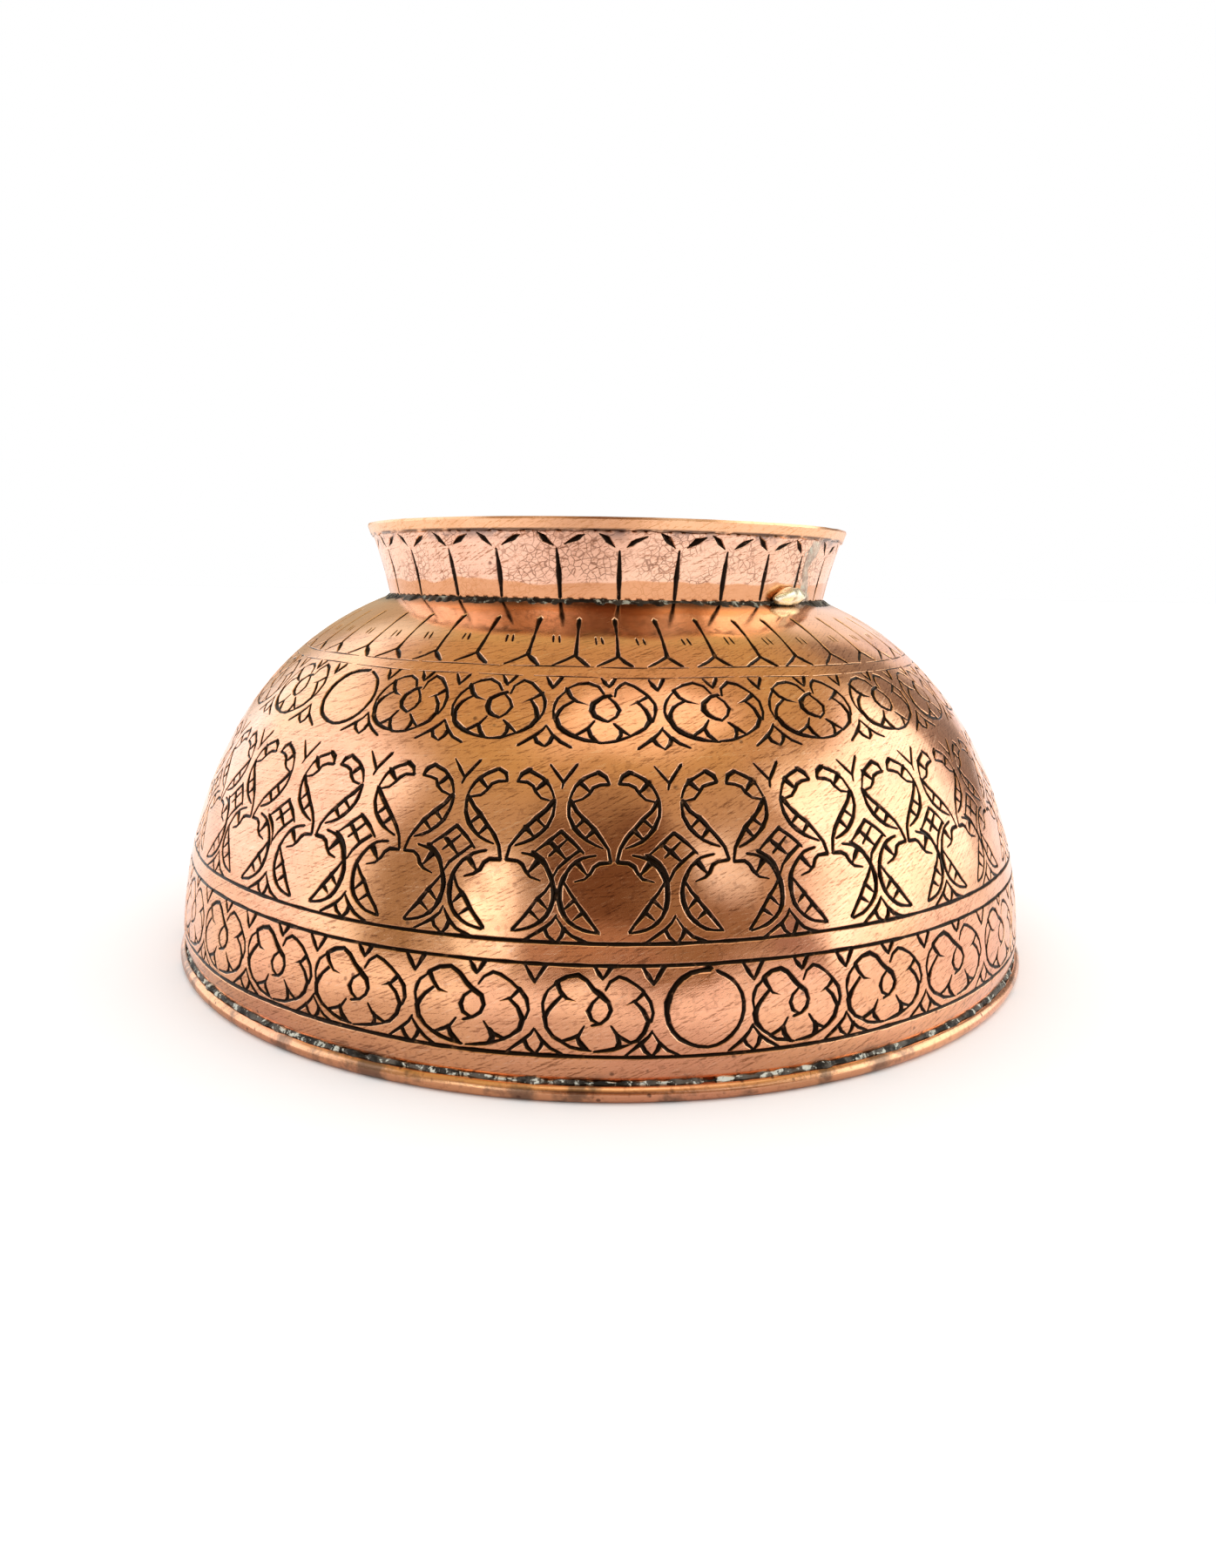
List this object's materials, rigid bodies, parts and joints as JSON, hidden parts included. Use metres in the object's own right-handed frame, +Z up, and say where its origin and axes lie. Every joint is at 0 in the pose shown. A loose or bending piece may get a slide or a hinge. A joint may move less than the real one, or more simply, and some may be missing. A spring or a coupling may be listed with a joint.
{
  "type": "footed bowl",
  "caption": "Hand-raised copper bowl with a flared foot ring, standing mouth down on its wired rim.",
  "frame": {"origin": "centre of the rim's circle on the surface that the bowl stands on, mouth down", "axes": "+Z up along the bowl's axis, from the rim to the foot ring; -Y is the front"},
  "size_m": [0.1974, 0.1974, 0.0939],
  "materials": {
    "copper_shell": "hand-polished, engraved",
    "copper_foot": "polished, crazed patina",
    "wire": "drawn wire",
    "tin_solder": "soft solder, darkened"
  },
  "bodies": {
    "root": {"bowl_shell": "copper_shell", "rim_wire": "wire", "rim_solder": "tin_solder", "foot_ring": "copper_foot", "foot_seam_solder": "tin_solder", "foot_solder": "tin_solder", "solder_lump": "tin_solder"}
  },
  "joints": []
}
